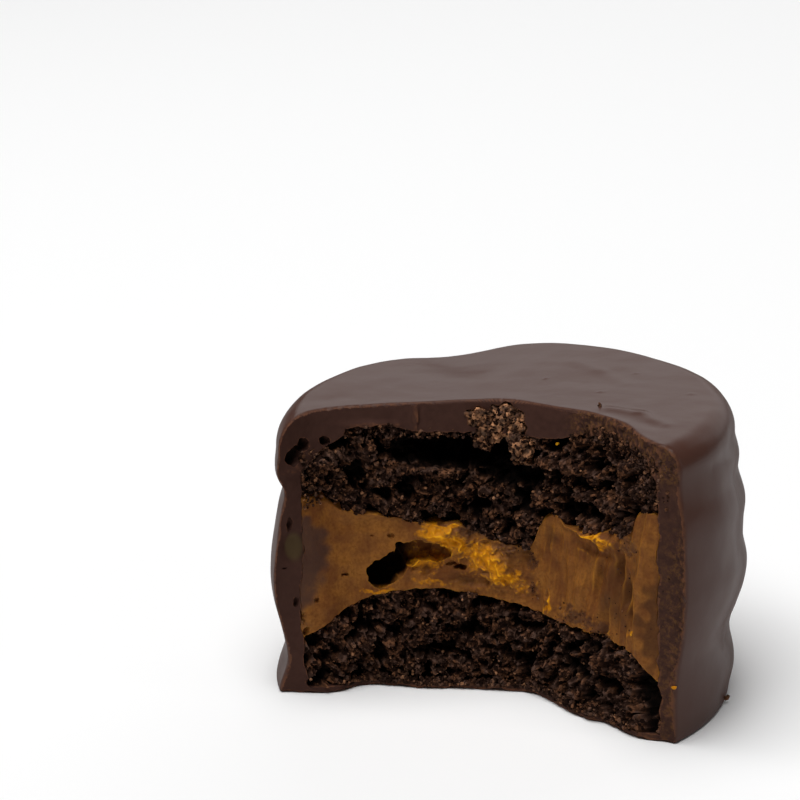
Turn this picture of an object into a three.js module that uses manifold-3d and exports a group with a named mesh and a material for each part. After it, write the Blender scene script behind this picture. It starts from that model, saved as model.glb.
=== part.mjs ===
// A bitten alfajor: two soft chocolate cakes round a thick layer of milk caramel, all dipped in
// dark chocolate. Millimetres, +Z up. The origin is the centre of the flat underside, and the
// bite faces -Y. Each layer is a solid of its own that runs through the whole cookie.

import * as THREE from 'three';
import { ImprovedNoise } from 'three/addons/math/ImprovedNoise.js';
import { mergeVertices } from 'three/addons/utils/BufferGeometryUtils.js';
import Module from 'manifold-3d';

const wasm = await Module();
wasm.setup();

// ---- driving dimensions ------------------------------------------------------------------

const HEIGHT = 36.2;           // of the coated cookie, over its centre
const TOP_LEAN = 0.047;        // rise of the top face for each millimetre across
const LEAN_ANGLE = 15;         // degrees from +X, the way the top face rises
const TOP_RADIUS = 25;         // of the nearly flat top face, inside its rounded rim
const RIM_SHARE = 0.1;         // of the height that the rounded rim takes
const FLAT_MIDDLE = 8;         // radius of the top's middle, inside its waves
const FOOT_ROUND = 0.4;        // radius of the corner under the coat's foot
const COAT_FLOOR = 0.8;        // thickness of the coat under the lower cake
const GAP = 0.3;               // between the coat and the layers inside it
const LAYER_GAP = 0.42;        // between neighbouring layers

// Waves of the top face, fullest at its rim: the side they lie at, rise and spread in degrees
const TOP_WAVES = [[122.5, -1.2, 15], [86.5, 0.25, 19]];

// Radius of the coat up the height (share of the height, radius), on the two sides
const STRONG_ANGLE = 17;       // degrees from +X, where the folds of the coat are strongest
const STRONG_WALL = [
  [0, 28.7], [0.1, 29.4], [0.2, 28.7], [0.28, 28.8], [0.33, 29.5], [0.39, 30.2], [0.46, 30.4],
  [0.53, 29.8], [0.6, 29.7], [0.67, 29.8], [0.76, 28.9], [0.82, 29], [0.9, 28.2],
];
const CALM_WALL = [
  [0, 28.6], [0.14, 27.6], [0.36, 29], [0.48, 29.1], [0.66, 28.2], [0.75, 27.5], [0.82, 28.4],
  [0.9, 28.2],
];

// Radius inside the coat up the height, on the right, on the left and at the back
const INSIDE_RIGHT = [[0, 27.2], [0.2, 26.6], [0.5, 26.1], [0.85, 25.3], [0.92, 24.4], [0.97, 22]];
const INSIDE_LEFT = [
  [0, 25.2], [0.15, 25.5], [0.3, 25.8], [0.5, 25.3], [0.7, 25.4], [0.78, 24.8], [0.83, 22.6],
  [0.88, 19.8],
];
const INSIDE_BACK = 25.8;

// Thickness of the top coat across the cookie (x, thickness)
const TOP_COAT = [
  [-24, 2.4], [-18, 2.7], [-14, 2.6], [-11, 3.6], [0, 4.2], [6, 4.1], [10, 3], [14, 2.6],
  [21, 2.2],
];

// Heights of the two faces of the caramel along the bite (x, z)
const UPPER_CAKE_UNDERSIDE = [
  [-24, 25.2], [-21.4, 24.4], [-18.9, 22.6], [-14, 21.5], [-8.3, 20.7], [-4.8, 20.4], [-1.5, 19.1],
  [2, 18.4], [4, 18.9], [6, 21.8], [7.8, 22.9], [9.6, 22.1], [12, 22.4], [16, 23.6], [18.2, 24.6],
  [20.2, 27.2], [24, 28.4],
];
const LOWER_CAKE_TOP = [
  [-24, 5.6], [-21.3, 7.4], [-19.2, 8.6], [-17, 10.3], [-14, 11.7], [-9, 12.5], [-4, 12.2], [0.7, 11.6],
  [4, 10.9], [9.1, 10.3], [13, 10.6], [19, 10.4], [21.6, 9.2], [24, 7.8],
];
const DOME_RADIUS = 25.5;      // behind the bite the faces become two even domes
const UPPER_DOME = { middle: 20.3, edge: 24.8, power: 2.2 };
const LOWER_DOME = { middle: 11.6, edge: 8, power: 3 };
const DOME_START = 2;          // y where the domes start to take over
const DOME_END = 11;

// The bite, in polar form about a centre in front of the cookie (degrees, radius)
const BITE_CENTRE_Y = -26;
const BITE_START = 12;         // the bitten face lies between these angles
const BITE_END = 168;
const BITE_OVERSHOOT = 4;      // of the cut above the top face, and half as far under the foot
const FRONT_FACETS = 14;       // round the rest of the cut, in front of the cookie
const BITE_AT_TOP = [
  [15, 28.6], [25, 28.6], [29.5, 27.9], [33, 26.3], [42, 25.7], [52, 26.5], [65, 26.6], [77, 26.4],
  [92, 27.2], [102, 26.5], [113, 26.2], [124, 27], [133, 28], [141, 28.9], [152, 27.4], [165, 26.6],
];
const BITE_AT_FLOOR = [
  [15, 29.3], [26, 29.2], [29, 27.4], [32, 24.8], [44.5, 22.7], [49, 21.4], [56, 20.8], [64, 21.1],
  [76, 21.8], [88, 20.4], [112, 19.5], [122, 20.7], [133, 22.3], [142, 21.9], [148.5, 23.3],
  [156, 26.5], [165, 28],
];

// Hollows and lumps in the bitten faces: degrees, height, half width, half height, depth
const COAT_HOLLOWS = [
  [148.8, 30.4, 1.7, 1.1, 2.4], [145, 31.3, 0.9, 0.8, 1.8], [150.4, 19.4, 1.1, 1.7, 0.9],
];
const UPPER_CAKE_HOLLOWS = [
  [102, 29.7, 7.6, 2.1, 6], [87, 26.9, 4.2, 1.2, 3.4], [134.5, 30.7, 1.5, 0.8, 2.4],
  [76, 31.3, 1.2, 0.6, 2], [61.5, 30.2, 1.3, 0.9, 2.2], [63, 24.6, 3.4, 0.8, 2],
  [32.5, 30.4, 0.8, 1.6, 2.6], [128, 24.4, 2, 0.9, 1.4],
  [73, 29.6, 4.6, 1, -1], [43.5, 31.2, 1.4, 2.4, -1.2], [110, 27, 5, 0.8, -1],
  [127, 29.8, 1.4, 1.2, -1.1], [138, 28.4, 1.8, 1.6, -0.9],
];
const CARAMEL_HOLLOWS = [
  [126, 14.5, 2.2, 2.2, 6], [120.5, 15.3, 1.9, 1.6, 5], [112, 16.9, 2.9, 1.6, 3.6],
  [102.6, 15.3, 1.3, 0.6, 1.6],
  [57, 22.3, 4.4, 0.9, -1.4], [89.5, 15.6, 1.5, 2.2, -1], [107, 19.2, 2.8, 0.8, -0.8],
  [79, 17.4, 1.2, 1.6, 1],
  [48.5, 12.6, 0.8, 2.4, 0.9], [41, 17.4, 0.8, 2.4, 1.2], [37.2, 15.2, 0.9, 1.6, 1.4],
];
const LOWER_CAKE_HOLLOWS = [
  [31, 6.2, 1.1, 3.4, 3.4], [60, 5.6, 2.2, 1, 2], [97, 7.4, 2.6, 0.8, 1.8], [131, 7.6, 2, 0.8, 1.6],
  [72, 3.2, 3.4, 1, -0.8], [134, 4.6, 2.4, 1.4, -0.8], [105, 9.6, 2.8, 1, -0.6], [46, 7.6, 1.6, 1, -0.9],
];

// A clump of crumb that stays stuck in a broken notch of the top coat
const CLUMP = { angle: 92, out: 28.2, z: 32.3, halfWidth: 4, halfDepth: 1.9, halfHeight: 2.3 };
const CLUMP_SQUARENESS = 0.65; // 1 is an even ellipsoid, less is boxier
const CLUMP_ROOM = 0.8;        // round the clump, in the coat

const CAKE_CRUMB = { coarse: 1.5, coarseDepth: 0.75, fine: 0.75, fineDepth: 0.35 };
const CLUMP_CRUMB = { coarse: 1.4, coarseDepth: 0.3, fine: 0.7, fineDepth: 0.1 };
const CARAMEL_TEAR = { coarse: 2.6, coarseDepth: 0.4, fine: 0.9, fineDepth: 0.15 };
const COAT_CHIPPING = { coarse: 2.2, coarseDepth: 0.14, fine: 0.8, fineDepth: 0.06 };
const NOISE_GAIN = 1.6;        // the noise seldom passes 1 / 1.6

// Upright streaks that the teeth drew down the caramel on the right (degrees, then millimetres)
const STREAKS = { from: 36, to: 84, fade: 5, pitch: 1.3, stretch: 7, depth: 0.45 };
const STREAK_RADIUS = 24;

// Facets
const BODY_SEGMENTS = 62;
const INSIDE_SEGMENTS = 46;
const FLAT_RINGS = 1;          // of a layer's face: plain, gently bent, or following the bite's curves
const BENT_RINGS = 4;
const CURVED_RINGS = 6;
const EDGE_STEPS = 3;          // up the edge of a layer
const SHOULDER_STEPS = 5;      // up the edge of the upper cake, which draws in at its top
const CLUMP_SEGMENTS = 22;
const COAT_STEP = 1.3;         // size of the facets in the bitten faces
const CARAMEL_STEP = 0.95;
const CAKE_STEP = 0.9;

// ---- small helpers -------------------------------------------------------------------------

const radians = THREE.MathUtils.degToRad;
const degrees = THREE.MathUtils.radToDeg;
const { clamp, lerp, smoothstep } = THREE.MathUtils;
const perlin = new ImprovedNoise();

// A smooth curve through its points, level beyond the first and the last
function curve(points) {
  const slope = points.map((_, i) => {
    if (i === 0 || i === points.length - 1) return 0;
    return (points[i + 1][1] - points[i - 1][1]) / (points[i + 1][0] - points[i - 1][0]);
  });
  return (x) => {
    const at = clamp(x, points[0][0], points.at(-1)[0]);
    const i = clamp(points.findIndex((p) => p[0] >= at) - 1, 0, points.length - 2);
    const [x0, y0] = points[i];
    const [x1, y1] = points[i + 1];
    const span = x1 - x0;
    const t = (at - x0) / span;
    const rise = y1 - y0;
    const bend = (slope[i] * span - rise) * (1 - t) - (slope[i + 1] * span - rise) * t;
    return y0 + rise * t + t * (1 - t) * bend;
  };
}

// Noise that carries on for ever, a coarse and a fine size together
function roughness({ coarse, coarseDepth, fine, fineDepth }, x, y, z) {
  const wide = perlin.noise(x / coarse + 7.3, y / coarse + 3.1, z / coarse + 5.7);
  const small = perlin.noise(x / fine + 1.9, y / fine + 8.3, z / fine + 2.4);
  return NOISE_GAIN * (coarseDepth * wide + fineDepth * small);
}

// How far an angle is from another, from -180 to 180 degrees
const turn = (angle, from) => ((angle - from + 540) % 360) - 180;

// Evenly spaced shares from one value to another, both kept
const steps = (from, to, count) => Array.from({ length: count + 1 }, (_, i) => lerp(from, to, i / count));

// A closed surface of rings: place(angle in degrees, ring) gives each point, and the first and
// the last ring are single points
function shell(segments, rings, place) {
  const geometry = new THREE.SphereGeometry(1, segments, rings.length - 1);
  const { position, uv } = geometry.attributes;
  for (let i = 0; i < position.count; i += 1) {
    const share = (Math.round(uv.getX(i) * segments) % segments) / segments;
    const ring = rings[Math.round(uv.getY(i) * (rings.length - 1))];
    position.setXYZ(i, ...place(share * 360, ring));
  }
  geometry.deleteAttribute('normal');
  geometry.deleteAttribute('uv');
  const merged = mergeVertices(geometry, 1e-5);
  return new wasm.Manifold(new wasm.Mesh({
    numProp: 3,
    vertProperties: new Float32Array(merged.attributes.position.array),
    triVerts: new Uint32Array(merged.index.array),
  }));
}

// ---- the coated outside ----------------------------------------------------------------------

const strongWall = curve(STRONG_WALL);
const calmWall = curve(CALM_WALL);

function strength(angle) {
  return smoothstep((Math.cos(radians(angle - STRONG_ANGLE)) + 1) / 2, 0, 1);
}

// Radius of the coat at an angle and a share of the height, folds rising and sinking a little
function wallRadius(angle, share) {
  const drift = 0.025 * Math.sin(2 * radians(angle - STRONG_ANGLE)) * Math.sin(Math.PI * share);
  const at = clamp(share + drift, 0, 0.9);
  return lerp(calmWall(at), strongWall(at), strength(angle));
}

function topHeight(x, y) {
  const lean = TOP_LEAN * (x * Math.cos(radians(LEAN_ANGLE)) + y * Math.sin(radians(LEAN_ANGLE)));
  const side = degrees(Math.atan2(y, x));
  const wave = TOP_WAVES.reduce((total, [angle, rise, spread]) => {
    return total + rise * Math.exp(-((turn(side, angle) / spread) ** 2));
  }, 0);
  return HEIGHT + lean + wave * smoothstep(Math.hypot(x, y), FLAT_MIDDLE, TOP_RADIUS);
}

// The rings of the outside, from the middle of the underside up to the middle of the top
function outsideRings() {
  const underside = steps(0, 1, 1).map((flat) => ({ kind: 'underside', flat }));
  const foot = steps(0, 90, 2).slice(1).map((bend) => ({ kind: 'foot', bend }));
  const wall = steps(0.03, 1 - RIM_SHARE, 18).map((share) => ({ kind: 'wall', share }));
  const rim = steps(0, 90, 4).slice(1).map((bend) => ({ kind: 'rim', bend }));
  const top = steps(1, 0, 3).slice(1).map((flat) => ({ kind: 'top', flat }));
  return [...underside, ...foot, ...wall, ...rim, ...top];
}

function outsidePoint(angle, { kind, flat, bend, share }) {
  let radius;
  let rise = share;
  let z;
  if (kind === 'underside') {
    radius = (wallRadius(angle, 0) - FOOT_ROUND) * flat;
    z = 0;
  } else if (kind === 'foot') {
    radius = wallRadius(angle, 0) - FOOT_ROUND * (1 - Math.sin(radians(bend)));
    z = FOOT_ROUND * (1 - Math.cos(radians(bend)));
  } else if (kind === 'wall') {
    radius = wallRadius(angle, share);
  } else if (kind === 'rim') {
    radius = lerp(TOP_RADIUS, wallRadius(angle, 1 - RIM_SHARE), Math.cos(radians(bend)));
    rise = 1 - RIM_SHARE * (1 - Math.sin(radians(bend)));
  } else {
    radius = TOP_RADIUS * flat;
    rise = 1;
  }
  const x = radius * Math.cos(radians(angle));
  const y = radius * Math.sin(radians(angle));
  return [x, y, z ?? rise * topHeight(x, y)];
}

const outside = () => shell(BODY_SEGMENTS, outsideRings(), outsidePoint);

// ---- the layers inside -----------------------------------------------------------------------

const insideRight = curve(INSIDE_RIGHT);
const insideLeft = curve(INSIDE_LEFT);
const topCoat = curve(TOP_COAT);
const upperCakeUnderside = curve(UPPER_CAKE_UNDERSIDE);
const lowerCakeTop = curve(LOWER_CAKE_TOP);

// Radius inside the coat
function insideRadius(angle, z) {
  const across = Math.cos(radians(angle));
  const side = across > 0 ? insideRight(z / HEIGHT) : insideLeft(z / HEIGHT);
  return lerp(INSIDE_BACK, side, smoothstep(Math.abs(across), 0.2, 0.85));
}

// A face between two layers: its curve along the bite, and an even dome behind it
function face(along, { middle, edge, power }) {
  return (x, y) => {
    const dome = lerp(middle, edge, clamp(Math.hypot(x, y) / DOME_RADIUS, 0, 1.1) ** power);
    return lerp(along(x), dome, smoothstep(y, DOME_START, DOME_END));
  };
}

const coatFloor = () => COAT_FLOOR;
const coatUnderside = (x, y) => topHeight(x, y) - topCoat(x);
const caramelTop = face(upperCakeUnderside, UPPER_DOME);
const caramelFloor = face(lowerCakeTop, LOWER_DOME);

// A solid disc between two faces, out to the inside of the coat, with a gap on each side
function layer(floor, ceiling, [floorRings, edgeSteps, ceilingRings], { below, above, round }) {
  const rings = [
    ...steps(0, 1, floorRings).map((flat) => ({ flat, rise: 0 })),
    ...steps(0, 1, edgeSteps).slice(1, -1).map((rise) => ({ flat: 1, rise })),
    ...steps(1, 0, ceilingRings).map((flat) => ({ flat, rise: 1 })),
  ];
  return shell(INSIDE_SEGMENTS, rings, (angle, { flat, rise }) => {
    const point = (radius) => {
      const x = radius * Math.cos(radians(angle));
      const y = radius * Math.sin(radians(angle));
      return [x, y, lerp(floor(x, y) + below, ceiling(x, y) - above, rise)];
    };
    const edgeHeight = point(DOME_RADIUS)[2];
    return point((insideRadius(angle, edgeHeight) - round) * flat);
  });
}

const TOUCHING = { below: 0, above: 0, round: 0 };

function lowerLayer(gaps = TOUCHING) {
  return layer(coatFloor, caramelFloor, [FLAT_RINGS, EDGE_STEPS, CURVED_RINGS], gaps);
}

function middleLayer(gaps = TOUCHING) {
  return layer(caramelFloor, caramelTop, [CURVED_RINGS, EDGE_STEPS, CURVED_RINGS], gaps);
}

function upperLayer(gaps = TOUCHING) {
  return layer(caramelTop, coatUnderside, [CURVED_RINGS, SHOULDER_STEPS, BENT_RINGS], gaps);
}

// ---- the bite ----------------------------------------------------------------------------------

const biteAtTop = curve(BITE_AT_TOP);
const biteAtFloor = curve(BITE_AT_FLOOR);

// Where a point in the bitten face lies: degrees about the bite's centre, radius and height
function biteFace(angle, z) {
  return lerp(biteAtFloor(angle), biteAtTop(angle), clamp(z / HEIGHT, 0, 1.05));
}

// Depth of the hollows and lumps at a place in the face
function hollowDepth(hollows, angle, z) {
  return hollows.reduce((deepest, [at, height, halfWidth, halfHeight, depth]) => {
    const across = radians(turn(angle, at)) * biteFace(angle, z) / halfWidth;
    const up = (z - height) / halfHeight;
    const here = depth * Math.exp(-((across * across + up * up) ** 1.5));
    return Math.abs(here) > Math.abs(deepest) ? here : deepest;
  }, 0);
}

function streakDepth(angle, z) {
  const { from, to, fade, pitch, stretch, depth } = STREAKS;
  const inside = smoothstep(angle, from - fade, from + fade) * (1 - smoothstep(angle, to - fade, to + fade));
  const along = radians(angle) * STREAK_RADIUS;
  return depth * NOISE_GAIN * inside * perlin.noise(along / pitch, z / stretch, 0.5);
}

// The space that the bite takes away, with its own relief for each layer
function biteTool(hollows, grain, step, streaks = false) {
  const length = radians(BITE_END - BITE_START) * biteFace(90, HEIGHT / 2);
  const bitten = steps(BITE_START, BITE_END, Math.round(length / step));
  const front = steps(BITE_END, BITE_START + 360, FRONT_FACETS).slice(1, -1);
  const angles = [...bitten, ...front];
  const low = -BITE_OVERSHOOT / 2;
  const high = HEIGHT + BITE_OVERSHOOT;
  const levels = steps(low, high, Math.round((high - low) / step));
  const foot = { z: low, centre: true };
  const head = { z: high, centre: true };
  const rings = [foot, ...levels.map((z) => ({ z })), head];
  return shell(angles.length, rings, (turned, { z, centre }) => {
    const angle = angles[Math.round(turned / 360 * angles.length)];
    if (centre) return [0, BITE_CENTRE_Y, z];
    let radius = biteFace(angle, z);
    let x = radius * Math.cos(radians(angle));
    let y = BITE_CENTRE_Y + radius * Math.sin(radians(angle));
    radius += hollowDepth(hollows, angle, z) + roughness(grain, x, y, z);
    if (streaks) radius += streakDepth(angle, z);
    x = radius * Math.cos(radians(angle));
    y = BITE_CENTRE_Y + radius * Math.sin(radians(angle));
    return [x, y, z];
  });
}

// The clump of crumb, or with some room round it the notch that it sits in
function clump(room = 0) {
  const grain = room ? 0 : 1;
  const boxy = (value) => Math.sign(value) * Math.abs(value) ** CLUMP_SQUARENESS;
  return shell(CLUMP_SEGMENTS, steps(-90, 90, CLUMP_SEGMENTS / 2), (around, lift) => {
    const across = boxy(Math.cos(radians(lift))) * boxy(Math.cos(radians(around)));
    const deep = boxy(Math.cos(radians(lift))) * boxy(Math.sin(radians(around)));
    const up = boxy(Math.sin(radians(lift)));
    const size = CLUMP.halfWidth;
    const swell = room + grain * roughness(CLUMP_CRUMB, size * across, size * deep, size * up);
    const out = CLUMP.out + (CLUMP.halfDepth + swell) * deep;
    const aside = (CLUMP.halfWidth + swell) * across;
    const bearing = radians(CLUMP.angle);
    return [
      out * Math.cos(bearing) + aside * Math.sin(bearing),
      BITE_CENTRE_Y + out * Math.sin(bearing) - aside * Math.cos(bearing),
      CLUMP.z + (CLUMP.halfHeight + swell) * up,
    ];
  });
}

// ---- the four pieces -----------------------------------------------------------------------------

// The largest piece of a cut solid, without any crumb that the cut left loose
function main(solid) {
  return solid.decompose().reduce((best, part) => (part.volume() > best.volume() ? part : best));
}

function piece(name, solid, colour, roughness) {
  const { vertProperties, triVerts } = main(solid).getMesh();
  const geometry = new THREE.BufferGeometry();
  geometry.setAttribute('position', new THREE.BufferAttribute(new Float32Array(vertProperties), 3));
  geometry.setIndex(Array.from(triVerts));
  const material = new THREE.MeshStandardMaterial({ color: colour, roughness, metalness: 0 });
  const mesh = new THREE.Mesh(geometry, material);
  mesh.name = name;
  return mesh;
}

const beside = LAYER_GAP / 2;  // each of two neighbours gives way by half their gap

function chocolateCoat() {
  const hollow = lowerLayer().add(middleLayer()).add(upperLayer());
  return outside()
    .subtract(hollow)
    .subtract(clump(CLUMP_ROOM))
    .subtract(biteTool(COAT_HOLLOWS, COAT_CHIPPING, COAT_STEP));
}

function lowerCake() {
  return lowerLayer({ below: GAP, above: beside, round: GAP })
    .subtract(biteTool(LOWER_CAKE_HOLLOWS, CAKE_CRUMB, CAKE_STEP));
}

function caramelFilling() {
  return middleLayer({ below: beside, above: beside, round: GAP })
    .subtract(biteTool(CARAMEL_HOLLOWS, CARAMEL_TEAR, CARAMEL_STEP, true));
}

function upperCake() {
  return upperLayer({ below: beside, above: GAP, round: GAP })
    .subtract(biteTool(UPPER_CAKE_HOLLOWS, CAKE_CRUMB, CAKE_STEP))
    .add(clump());
}

const alfajor = new THREE.Group();
alfajor.add(piece('chocolate_coat', chocolateCoat(), 0x4a3a35, 0.35));
alfajor.add(piece('upper_cake', upperCake(), 0x2e1d17, 0.95));
alfajor.add(piece('caramel_filling', caramelFilling(), 0x8a5426, 0.45));
alfajor.add(piece('lower_cake', lowerCake(), 0x2e1d17, 0.95));

export default alfajor;
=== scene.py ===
"""A bitten alfajor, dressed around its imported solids: dark chocolate coat, two soft cocoa cakes,
caramel between them, and the crumbs that the bite left.

Shapes are worked out in millimetres and become metres when a piece is finished.
"""

import math

import bmesh
import bpy
import numpy as np
from mathutils import Matrix, Vector


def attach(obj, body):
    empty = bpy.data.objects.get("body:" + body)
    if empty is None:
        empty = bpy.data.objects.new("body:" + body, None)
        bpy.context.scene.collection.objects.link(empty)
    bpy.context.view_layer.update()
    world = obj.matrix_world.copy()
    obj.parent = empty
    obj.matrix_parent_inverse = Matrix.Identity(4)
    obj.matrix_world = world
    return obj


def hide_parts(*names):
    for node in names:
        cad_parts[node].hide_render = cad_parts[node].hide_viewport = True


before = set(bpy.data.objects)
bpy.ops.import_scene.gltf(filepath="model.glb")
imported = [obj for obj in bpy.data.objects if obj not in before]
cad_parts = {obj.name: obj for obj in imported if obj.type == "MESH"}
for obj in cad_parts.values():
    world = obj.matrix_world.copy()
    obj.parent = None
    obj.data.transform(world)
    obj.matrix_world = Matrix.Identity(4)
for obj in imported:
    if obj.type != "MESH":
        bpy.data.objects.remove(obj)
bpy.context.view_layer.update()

MM = 0.001
DRAFT = 1.0

# ---- sizes, in millimetres and degrees ----------------------------------------------------------
# Degrees run round the upright axis, from the x axis towards the y axis.

HEIGHT = 36.2
TOP_LEAN = 0.047                         # rise of the top for each millimetre
LEAN_ANGLE = 15.0
TOP_RADIUS = 25.0                        # where the flat top turns into the rounded rim
RIM_SHARE = 0.1                          # share of the height that the rim takes
WALL_TOP = 1 - RIM_SHARE
FLAT_MIDDLE = 8.0
FOOT_ROUND = 0.4
COAT_FLOOR = 0.8
EDGE_ROUND = 0.35                        # where the outside meets the bite
SEAM = 0.03                              # hairline between neighbouring layers
LAYER_ROOM = 0.06                        # hairline between a layer and the coat

TOP_WAVES = [(122.5, -1.2, 15), (86.5, 0.25, 19)]       # degrees, height, spread

# The wall's radius at shares of the height: on its most uneven side, beside it and across from it
STRONG_ANGLE = 17.0
STRONG_REACH = 26.0                      # degrees over which the waves fade
STRONG_WALL = [
    (0, 28.7), (.1, 29.4), (.2, 28.7), (.28, 28.8), (.33, 29.5), (.39, 30.2), (.46, 30.4),
    (.53, 29.8), (.6, 29.7), (.67, 29.8), (.76, 28.9), (.82, 29), (.9, 28.2),
]
EVEN_WALL = [(0, 28.8), (.2, 28.8), (.46, 30.0), (.67, 29.5), (.9, 28.2)]
CALM_WALL = [
    (0, 28.6), (.14, 27.6), (.36, 29), (.48, 29.1), (.66, 28.2), (.75, 27.5), (.82, 28.4),
    (.9, 28.2),
]
WALL_DRIFT = 0.025                       # how far the waves climb as they go round

# The inside of the coat: radius at shares of the height, and the top's thickness along x
INSIDE_RIGHT = [(0, 27.2), (.2, 26.6), (.5, 26.1), (.85, 25.3), (.92, 24.4), (.97, 22)]
INSIDE_LEFT = [
    (0, 25.2), (.15, 25.5), (.3, 25.8), (.5, 25.3), (.7, 25.4), (.78, 24.8), (.83, 22.6),
    (.88, 19.8),
]
INSIDE_BACK = 25.8
TOP_COAT = [
    (-24, 2.4), (-18, 2.7), (-14, 2.6), (-11, 3.6), (0, 4.2), (6, 4.1), (10, 3.0), (14, 2.6),
    (21, 2.2),
]

# Heights of the cakes' inner faces along x where the bite shows them, and of the even domes behind
UPPER_CAKE_UNDERSIDE = [
    (-24, 25.2), (-21.4, 24.4), (-18.9, 22.6), (-14, 21.5), (-8.3, 20.7), (-4.8, 20.4),
    (-1.5, 19.1), (2, 18.3), (4.3, 18.6), (5.6, 21.9), (7.6, 23.1), (9.3, 22.0), (12, 22.4),
    (16, 23.6), (18.6, 24.6), (19.6, 27.4), (24, 28.4),
]
LOWER_CAKE_TOP = [
    (-24, 5.6), (-21.3, 7.4), (-19.2, 8.6), (-17, 10.3), (-14, 11.7), (-9, 12.5), (-4, 12.2),
    (0.7, 11.6), (4, 10.9), (9.1, 10.3), (13, 10.6), (20, 10.4), (21.7, 9), (24, 7.4),
]
DOME_RADIUS = 25.5
UPPER_DOME = (20.3, 24.8, 2.2)           # height in the middle, at the edge, and how it bends
LOWER_DOME = (11.6, 8.0, 3.0)
DOME_START, DOME_END = 2.0, 14.0         # y between which the shown edge turns into the dome

# The bitten face, round a centre of its own in front of the cookie: degrees and radius
BITE_CENTRE_Y = -26.0
BITE_START, BITE_END = 12.0, 168.0
BITE_REACH = 24                          # its mean radius
BITE_AT_TOP = [
    (15, 28.6), (25, 28.6), (29.5, 27.9), (33, 26.3), (42, 25.7), (52, 26.5), (65, 26.6),
    (77, 26.4), (92, 27.2), (102, 26.5), (113, 26.2), (124, 27), (133, 28), (141, 28.9),
    (152, 27.4), (165, 26.6),
]
BITE_AT_FLOOR = [
    (15, 29.3), (26, 29.2), (29, 27.4), (32, 24.8), (44.5, 22.7), (49, 21.4), (56, 20.8),
    (64, 21.1), (76, 21.8), (88, 20.4), (112, 19.5), (122, 20.7), (133, 22.3), (142, 21.9),
    (148.5, 23.3), (156, 26.5), (165, 28),
]

# The heights between which each piece is bitten, past its faces
COAT_BITE = (-2, HEIGHT + 4)
CARAMEL_BITE = (3, 32)
LOWER_CAKE_BITE, UPPER_CAKE_BITE = (-1, 14), (16.5, 38)

# Dents in the bitten faces: degrees, height, half width, half height, depth. A depth below 0 is
# a lump.
UPPER_CAKE_DENTS = [
    (102, 29.7, 7.6, 2.1, 6.0), (87, 26.9, 4.2, 1.2, 3.4), (134.5, 30.7, 1.5, 0.8, 2.4),
    (76, 31.3, 1.2, 0.6, 2.0), (61.5, 30.2, 1.3, 0.9, 2.2), (57, 28.5, 1.8, 0.6, 2.0),
    (63, 24.6, 3.4, 0.8, 2.0), (32.5, 30.4, 0.8, 1.6, 2.6), (128, 24.4, 2.0, 0.9, 1.4),
    (99, 23.0, 2.2, 0.9, 1.6), (84, 23.4, 1.6, 1.0, 1.6), (42, 27.6, 1.2, 0.9, 1.6),
    (73, 29.6, 4.6, 1.0, -1.0), (43.5, 31.2, 1.4, 2.4, -1.2), (110, 27.0, 5.0, 0.8, -1.0),
    (127, 29.8, 1.4, 1.2, -1.1), (138, 28.4, 1.8, 1.6, -0.9), (79, 24.6, 2.0, 0.8, -0.8),
    (52, 26.4, 1.6, 0.9, -0.8),
]
LOWER_CAKE_DENTS = [
    (31, 6.2, 1.1, 3.4, 3.4), (60, 5.6, 2.2, 1.0, 2.0), (97, 7.4, 2.6, 0.8, 1.8),
    (131, 7.6, 2.0, 0.8, 1.6), (112, 4.6, 1.8, 0.8, 1.5), (42, 5.0, 1.2, 0.9, 1.6),
    (80, 4.4, 2.0, 0.7, 1.5), (52, 9.0, 1.4, 0.8, 1.6), (72, 3.2, 3.4, 1.0, -0.8),
    (134, 4.6, 2.4, 1.4, -0.8), (105, 9.6, 2.8, 1.0, -0.6), (46, 7.6, 1.6, 1.0, -0.9),
]
CARAMEL_DENTS = [
    (57, 22.5, 4.4, 0.7, -0.9), (89.5, 15.6, 1.5, 2.2, -0.9), (107, 19.4, 2.8, 0.8, -0.7),
    (71, 11.8, 0.5, 1.8, -0.5), (33.8, 18.0, 0.9, 9.0, -0.8), (61, 16.0, 1.6, 4.0, -0.5),
    (79, 17.4, 1.2, 1.6, 0.7), (55, 20.6, 4.0, 0.6, 0.35), (53, 17.0, 0.5, 2.6, 0.9),
    (48.5, 12.6, 0.6, 2.4, 1.0), (44.6, 20.0, 0.6, 1.8, 1.1), (41, 17.4, 0.6, 2.0, 1.3),
    (37.2, 15.2, 0.7, 1.6, 1.5), (98, 13.6, 2.4, 0.7, 0.5), (130, 20.6, 3.6, 0.9, 0.3),
]
# Blown holes in the coat: degrees, height, half width, half height, half depth, how far in the
# middle lies
COAT_HOLES = [
    (148.8, 30.3, 1.7, 1.2, 1.5, 0.5), (145.2, 31.3, 1.1, 0.95, 1.4, 0.5),
    (138.6, 31.2, 0.75, 0.6, 1.2, 0.2), (151.8, 21.9, 0.4, 0.9, 0.9, 0.1),
    (149.9, 10.2, 0.28, 1.0, 0.9, 0.1), (149.3, 8.6, 0.25, 1.0, 0.9, 0.1),
    (148.7, 6.6, 0.25, 1.1, 0.9, 0.1), (148.3, 5.0, 0.35, 0.8, 0.9, 0.0),
    (147.9, 2.6, 0.3, 1.0, 0.8, 0.1), (153.8, 16.4, 0.45, 0.2, 0.3, 0.1),
    (151.4, 11.9, 0.3, 0.6, 0.7, 0.1), (149.6, 1.2, 0.3, 0.7, 0.7, 0.1),
]
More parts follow.
